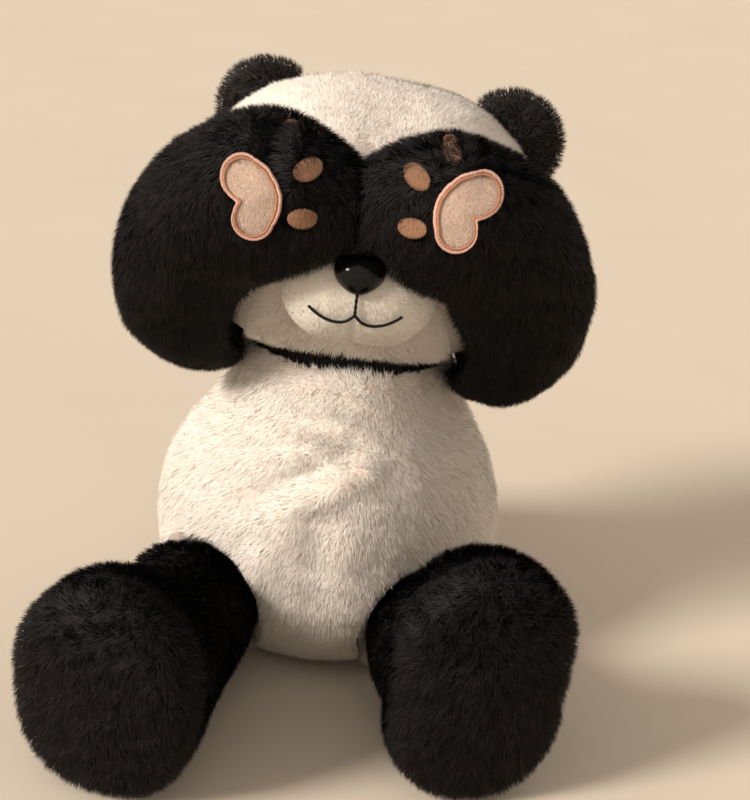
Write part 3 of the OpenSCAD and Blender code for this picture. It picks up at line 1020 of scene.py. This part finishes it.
def make_muzzle(cream):
    skin = stuffed_skin(grown(MUZZLE, -1.6 * MM), 1.2 * MM, 4)
    co = coords(skin)
    sideways = co[:, 0] - MUZZLE_MIDDLE[0]
    seam = bell(sideways, 1.1 * MM) * (co[:, 2] < 192 * MM)
    away = unit(co - MUZZLE_MIDDLE)
    co -= away * seam[:, None] * 1.3 * MM
    set_coords(skin, co)

    def comb(place, normal):
        return vectors((place[:, 0] - MUZZLE_MIDDLE[0]) * 30, 0.4, -0.5) * 0.8

    bare = clear_of(grown(HEAD, -4 * MM))
    muzzle = grow_pile("muzzle_plush", skin, SHORT_PILE, cream, 31, comb, weight=bare)
    join_frame(muzzle, "head", ["muzzle_cover", "muzzle_stuffing"])


def make_nose(plastic):
    """The moulded nose: a soft triangle, wide above and narrow below, domed over its base."""
    bm = bmesh.new()
    bmesh.ops.create_icosphere(bm, subdivisions=5, radius=1)
    skin = settled(bm, ())
    x, y, z = coords(skin).T
    wide = 10.7 * x * (1 + 0.26 * y)
    high = 8.7 * y - 0.7 + 0.9 * (x * x - 0.4) * (y > 0) * y
    deep = np.where(z > 0, 8.0, 3.0) * z + 25.2
    tilt = math.radians(58)
    back = high * math.cos(tilt) - deep * math.sin(tilt)
    rise = high * math.sin(tilt) + deep * math.cos(tilt)
    set_coords(skin, MUZZLE_MIDDLE + vectors(wide, back, rise) * MM)
    skin.shade_smooth()
    nose = add_object("nose_button", skin, plastic)
    join_frame(nose, "head", ["nose"])


SMILE = (
    (0, 194.0), (1.2, 192.6), (3.0, 190.9), (5.4, 190.0), (8.5, 189.9),
    (12.0, 190.8), (15.0, 192.2), (17.5, 193.8), (19.4, 195.2),
)


def make_mouth(thread):
    """The embroidered mouth: a drop from the nose and two flat upturned curves, in short stitches."""
    drop = 10
    along = np.linspace(0, SMILE[-1][0], 19)
    rise = np.interp(along, *np.transpose(SMILE))
    lines = [[(0, SMILE[0][1] + drop - step * drop / 4) for step in range(5)]]
    lines += [list(zip(side * along, rise)) for side in (-1, 1)]
    stitches = []
    for line in lines:
        spots = []
        for x, z in line:
            past = max(abs(x) - MUZZLE_ENDS, 0)
            proud = math.sqrt((MUZZLE_R + 1.1) ** 2 - past**2 - (z - MUZZLE_Z) ** 2)
            spots.append(at(x + MUZZLE_X, MUZZLE_Y - proud, z))
        for a, b in zip(spots, spots[1:]):
            stitches.append((a, b, unit((a + b) / 2 - MUZZLE_MIDDLE), 1.45 * MM))
    mouth = thread_piece("mouth_stitches", stitches, thread)
    join_frame(mouth, "head", ["mouth_stitching"])


# ---- arms ----

PAD_AT = {"left": (40.3, 248.0), "right": (40.6, 243.2)}
PAD_LEAN = {"left": 24, "right": 16}
Toe = namedtuple("Toe", "x z turn wide high proud bare")
TOES = {
    "left": (
        Toe(-18.9, 8.2, 14, 5.4, 3.9, -1.3, -1.2),
        Toe(-18.2, -9.8, -10, 5.6, 3.8, -0.8, -0.5),
        Toe(-6.5, 17.5, 40, 4.4, 3.0, -4.6, -3.2),
    ),
    "right": (
        Toe(-18.8, 11.2, 10, 5.2, 3.9, -0.8, -1.0),
        Toe(-19.0, -6.4, -6, 5.5, 3.9, 0.0, -0.2),
        Toe(-8.0, 20.0, 40, 4.6, 3.2, -13.0, -12.5),
    ),
}


def paw_patches(side):
    """The heart pad and the toe pads on a paw."""
    mirror = SIDES[side]
    centre = PAW * (mirror, 1, 1)
    right, up, out = np.array((mirror, 0, 0)), np.array((0, 0, 1)), np.array((0, -1, 0))

    def patch(x, z, turn, outline, proud):
        middle = ((x - PAW[0] / MM) * MM, (z - PAW[2] / MM) * MM)
        radius = PAW_R + proud * MM
        return Patch(centre, radius, right, up, out, middle, math.radians(-turn), outline)

    pad_x, pad_z = PAD_AT[side]
    pad = patch(pad_x, pad_z, PAD_LEAN[side], heart, -0.4)
    toes = [
        patch(pad_x + toe.x, pad_z + toe.z, toe.turn, oval(toe.wide, toe.high), toe.proud)
        for toe in TOES[side]
    ]
    return pad, toes


RIM_STITCHES = 190
RIM_SLANT = 0.012
RIM_THREAD = 0.60 * MM
LINE_THREAD = 1.0 * MM
TOE_THREAD = 0.62 * MM
TOE_STEP = 0.5


def make_heart_pad(side, pad, velour, rim, line, seed):
    """The pad of short plush, its rolled satin rim, and the line of thread that holds it."""
    skin = patch_skin(pad, 1.0 * MM, 0.35)
    piece = grow_pile(side + "_heart_pad", skin, PAD_PILE, velour, seed, one_way(0.3, 0, -0.8))
    join_frame(piece, side + "_arm", [side + "_paw_pad"])
    rng = np.random.default_rng(seed)
    angle = np.linspace(0, 2 * math.pi, RIM_STITCHES, endpoint=False)
    edge = pad.outline(angle)
    wobble = rng.uniform(-0.15, 0.15, RIM_STITCHES) * MM
    inner = on_patch(pad, angle + RIM_SLANT, edge - 0.1 * MM + wobble, 0.9 * MM)
    ridge = on_patch(pad, angle, edge + 0.6 * MM, 1.4 * MM)
    outer = on_patch(pad, angle - RIM_SLANT, edge + 1.3 * MM + wobble, 0.1 * MM)
    stitches = []
    for a, b, c in zip(inner, ridge, outer):
        up = unit(b - pad.centre)
        stitches.append((a, b, up, RIM_THREAD))
        stitches.append((b, c, up, RIM_THREAD))
    border = thread_piece(side + "_pad_border_stitches", stitches, rim)
    join_frame(border, side + "_arm", [side + "_pad_border"])
    twist = angle[::2]
    far = twist + 4.2 * math.pi / RIM_STITCHES
    start = on_patch(pad, twist, pad.outline(twist) - 1.0 * MM, 1.0 * MM)
    end = on_patch(pad, far, pad.outline(far) - 0.5 * MM, 1.1 * MM)
    holding = [(a, b, unit(a - pad.centre), LINE_THREAD) for a, b in zip(start, end)]
    thread = thread_piece(side + "_pad_line_stitches", holding, line)
    join_frame(thread, side + "_arm", [])


def make_toe_pads(side, toes, thread, seed):
    """The toe pads: satin stitches side by side over a low mound."""
    rng = np.random.default_rng(seed)
    stitches = []
    base = bmesh.new()
    for patch, toe in zip(toes, TOES[side]):
        base.from_mesh(patch_skin(patch, 1.0 * MM, 0.5, 5, 48))
        for x in np.arange(-toe.wide + 0.3, toe.wide, TOE_STEP):
            out = (x / toe.wide) ** 2
            tall = toe.high * math.sqrt(max(1 - out, 0)) + 0.2
            split = rng.uniform(-0.3, 0.3) * tall
            proud = 1.2 * MM * (1 - 0.4 * out)
            for low, top in ((-tall, split + 0.3 * tall), (split - 0.3 * tall, tall)):
                ends = np.array(((x, low), (x, top))) * MM
                angle = np.arctan2(ends[:, 1], ends[:, 0])
                a, b = on_patch(patch, angle, np.hypot(*ends.T), proud)
                stitches.append((a, b, unit(a - patch.centre), TOE_THREAD))
    piece = thread_piece(side + "_toe_stitches", stitches, thread)
    join_frame(piece, side + "_arm", [side + "_toe_pads"])
    mesh = meshed(side + "_toe_base", base)
    mesh.shade_smooth()
    mound = add_object(side + "_toe_base", mesh, thread)
    join_frame(mound, side + "_arm", [])


def paws_meet(co, mirror):
    """Spreads the inner side of a paw until it lies flat on the other paw."""
    sideways = co[:, 0] * mirror / MM
    past = np.maximum(PAW[0] / MM - 14 - sideways, 0)
    co[:, 0] = np.maximum(sideways - 0.34 * past**1.3, 0.9) * mirror * MM
    return co


PAW_CREASE = ((-33, -86, 270), (-36, -110, 257), (-32, -119, 246), (-31, -117, 222))
PAW_RIDGE = (
    (-27, -90, 271), (-29, -110, 258), (-28, -119, 246), (-28, -119, 232), (-30, -116, 220),
)
PAW_FOLDS = {
    "left": (Fold(((34, -88, 270), (31, -112, 258)), 5, -1.6),),
    "right": (Fold(PAW_CREASE, 4.5, -9.0), Fold(PAW_RIDGE, 5, 6.0)),
}


def arm_skin(side, seed):
    rods = LEFT_ARM if side == "left" else RIGHT_ARM
    skin = stuffed_skin(grown(rods, -CLOTH))
    co = coords(skin)
    away = normals(skin)
    co += waves(co, 48 * MM, np.random.default_rng(seed)) * 0.9 * MM
    for fold in PAW_FOLDS[side]:
        co = swell(co, away, *fold)
    co = paws_meet(co, SIDES[side])
    pressed = grown(HEAD, PILE_GAP) + grown(MUZZLE, 3 * MM) + grown(NECK_BALL, 0.4 * MM) + NOSE_ROOM
    co = over_magnets(keep_off(co, pressed, CLOTH), away, side + "_paw_magnet", 1.8)
    set_coords(skin, co)
    return skin, pressed


def make_arm(side, black, velour, salmon, orange, painted_shade_toe_thread, seed):
    pad, toes = paw_patches(side)
    skin, pressed = arm_skin(side, seed)
    off = grown(HEAD, PILE_GAP * 0.5) + grown(MUZZLE, 2 * MM)
    off += grown(NECK_BALL, 0.4 * MM) + grown(NOSE_ROOM, 1 * MM)
    bare = [(pad, 0.3)] + [(patch, toe.bare) for patch, toe in zip(toes, TOES[side])]

    def weight(place):
        share = np.where(clearance(place, pressed) < CLOTH + 1.5 * MM, 0.35, 1.0)
        share = share * np.where(np.abs(place[:, 0]) < 2 * MM, 0.4, 1.0)
        for patch, margin in bare:
            share = share * (patch_margin(place, patch) > margin * MM)
        return share

    def tufts(place):
        """Longer on the ridge beside the crease, where tufts stand over the pad's edge."""
        return 1 + beside(place, PAW_RIDGE, 3.5) * (side == "right")

    def paw_comb(place, normal):
        aside = beside(place, PAW_RIDGE, 4.5)[:, None] * (side == "right")
        return comb_down(place, normal) * (1 - 0.7 * aside) + np.array((-0.8, -0.3, 0)) * aside

    arm = grow_pile(side + "_arm_plush", skin, BLACK_PILE, black, seed, paw_comb, off, tufts, weight)
    covers = [side + part for part in ("_arm_palm", "_arm_back", "_arm_stuffing")]
    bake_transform(arm)
    join_frame(arm, None, covers)
    make_heart_pad(side, pad, velour, salmon, orange, seed + 1)
    make_toe_pads(side, toes, painted_shade_toe_thread, seed + 2)


# ---- legs ----


INSTEP = Fold(((-74, -66, 46), (-66, -76, 52)), 11, 6.5)


def make_leg(side, black, seed):
    turn = LEGS[side].turn
    shaft, foot = leg_rods(side)
    skin = stuffed_skin(grown([shaft, foot], -CLOTH))
    co = coords(skin)
    away = np.array((*turned(0, -1, turn), 0.0))
    past = (co - foot.start) @ away
    limit = (SOLE_OUT - 1) * MM
    flat = np.where(past > 0, limit * np.tanh(np.maximum(past, 0) / limit), past)
    co += away * (flat - past)[:, None]
    co += waves(co, 48 * MM, np.random.default_rng(seed)) * 0.9 * MM
    rim = bell(past - 1 * MM, 2.2 * MM)
    outward = unit(sheer(co - (foot.start + foot.end) / 2, np.tile(away, (len(co), 1))))
    co -= outward * (rim * 2.6 * MM)[:, None]
    if side == "right":
        co = swell(co, normals(skin), *INSTEP)
    co[:, 2] = np.maximum(co[:, 2], SKIN_FLOOR)
    set_coords(skin, co)
    centre = (foot.start + foot.end) / 2
    cover = part_of(skin, centre, away)
    sole = part_of(skin, centre, -away)

    def cover_weight(place):
        return ((place - centre) @ away < -SEAM_BARE) * crushed(place)

    def sole_weight(place):
        return ((place - centre) @ away > SEAM_BARE) * crushed(place)

    along = one_way(*away + (0, 0, -0.5))
    whorl = centre + at(0, 0, 22)

    def round_sole(place, normal):
        return (place - whorl) * 22 + (0, 0, -0.25)

    leg = grow_pile(
        side + "_leg_plush", cover, BLACK_PILE, black, seed, along, (), short_under, cover_weight
    )
    join_frame(leg, side + "_leg", [side + "_leg_cover", side + "_leg_stuffing"])
    pad = grow_pile(
        side + "_sole_plush", sole, BLACK_PILE, black, seed + 1, round_sole, (), short_under, sole_weight
    )
    join_frame(pad, side + "_leg", [side + "_sole_panel"])


# ---- stage ----

DAYLIGHT = (1, 0.95, 0.88)

def soft_lamp(name, place, strength, spread_deg):
    """A wide, even lamp: it lights the floor as much as the object, so nothing near it burns out."""
    data = bpy.data.lights.new(name, "SUN")
    data.energy = strength
    data.angle = math.radians(spread_deg)
    data.color = DAYLIGHT
    lamp = bpy.data.objects.new(name, data)
    bpy.context.collection.objects.link(lamp)
    lamp.location = place
    lamp.rotation_euler = (AIM - Vector(place)).to_track_quat("-Z", "Y").to_euler()


def make_stage():
    bm = bmesh.new()
    bmesh.ops.create_grid(bm, x_segments=2, y_segments=2, size=9)
    mesh = meshed("floor", bm)
    shade = Shade("pale_floor").set(Roughness=0.85)
    shade.colour(shade.noise(6), (0.56, 0.475, 0.375), (0.60, 0.515, 0.415))
    floor = add_object("floor", mesh, shade.material)
    soft_lamp("window", (-1.60, -1.05, 1.20), 4.3, 16)
    soft_lamp("fill", (-0.6, -1.6, 0.3), 0.8, 120)
    world = bpy.data.worlds.new("studio")
    bpy.context.scene.world = world
    world.use_nodes = True
    tree = world.node_tree
    soft = tree.nodes["Background"]
    soft.inputs["Color"].default_value = (0.91, 0.82, 0.73, 1)
    soft.inputs["Strength"].default_value = 0.68
    wall = tree.nodes.new("ShaderNodeBackground")
    wall.inputs["Color"].default_value = (0.60, 0.52, 0.43, 1)
    ray = tree.nodes.new("ShaderNodeLightPath")
    seen = tree.nodes.new("ShaderNodeMath")
    seen.operation = "MAXIMUM"
    mix = tree.nodes.new("ShaderNodeMixShader")
    link = tree.links.new
    link(ray.outputs["Is Camera Ray"], seen.inputs[0])
    link(ray.outputs["Is Glossy Ray"], seen.inputs[1])
    link(seen.outputs[0], mix.inputs[0])
    link(soft.outputs[0], mix.inputs[1])
    link(wall.outputs[0], mix.inputs[2])
    link(mix.outputs[0], tree.nodes["World Output"].inputs["Surface"])
    bpy.context.scene.view_settings.view_transform = "Standard"


def main():
    make_camera()
    make_stage()
    black, ear_tones_painted_sheen, white, cream, velour = (pile_tones(*colours) for colours in PILE_COLOURS)
    salmon = thread_finish("salmon_thread", (0.54, 0.29, 0.20), (0.70, 0.43, 0.33))
    orange = thread_finish("orange_thread", (0.31, 0.12, 0.055), (0.44, 0.19, 0.10))
    # The toe thread's dark brown is partly its own colour, partly painted shade from the paw's crease and
    # the fur round the toes.
    painted_shade_toe_thread = thread_finish("brown_thread", (0.21, 0.09, 0.04), (0.38, 0.19, 0.10))
    plastic = gloss_plastic()
    make_torso(white, black)
    make_tail(white)
    make_head(white)
    for side, seed in (("left", 41), ("right", 43)):
        make_ear(side, ear_tones_painted_sheen, seed)
        make_eye_patch(side, black, seed + 1)
    make_muzzle(cream)
    make_nose(plastic)
    make_mouth(thread_finish("black_thread", (0.004, 0.0035, 0.0035), (0.010, 0.009, 0.009), 0.15, 0.0))
    for side, seed in (("left", 51), ("right", 55)):
        make_arm(side, black, velour, salmon, orange, painted_shade_toe_thread, seed)
    for side, seed in (("left", 61), ("right", 63)):
        make_leg(side, black, seed)
    dress(plastic, "left_eye", "right_eye")
    dress(steel(), "face_magnets", "left_paw_magnet", "right_paw_magnet")
    dress(washer_plastic(), "eye_washers", "nose_washer")
    dress(pouch_cotton(), "pellet_pouch")
    dress(pellets(), "pellet_fill")


main()
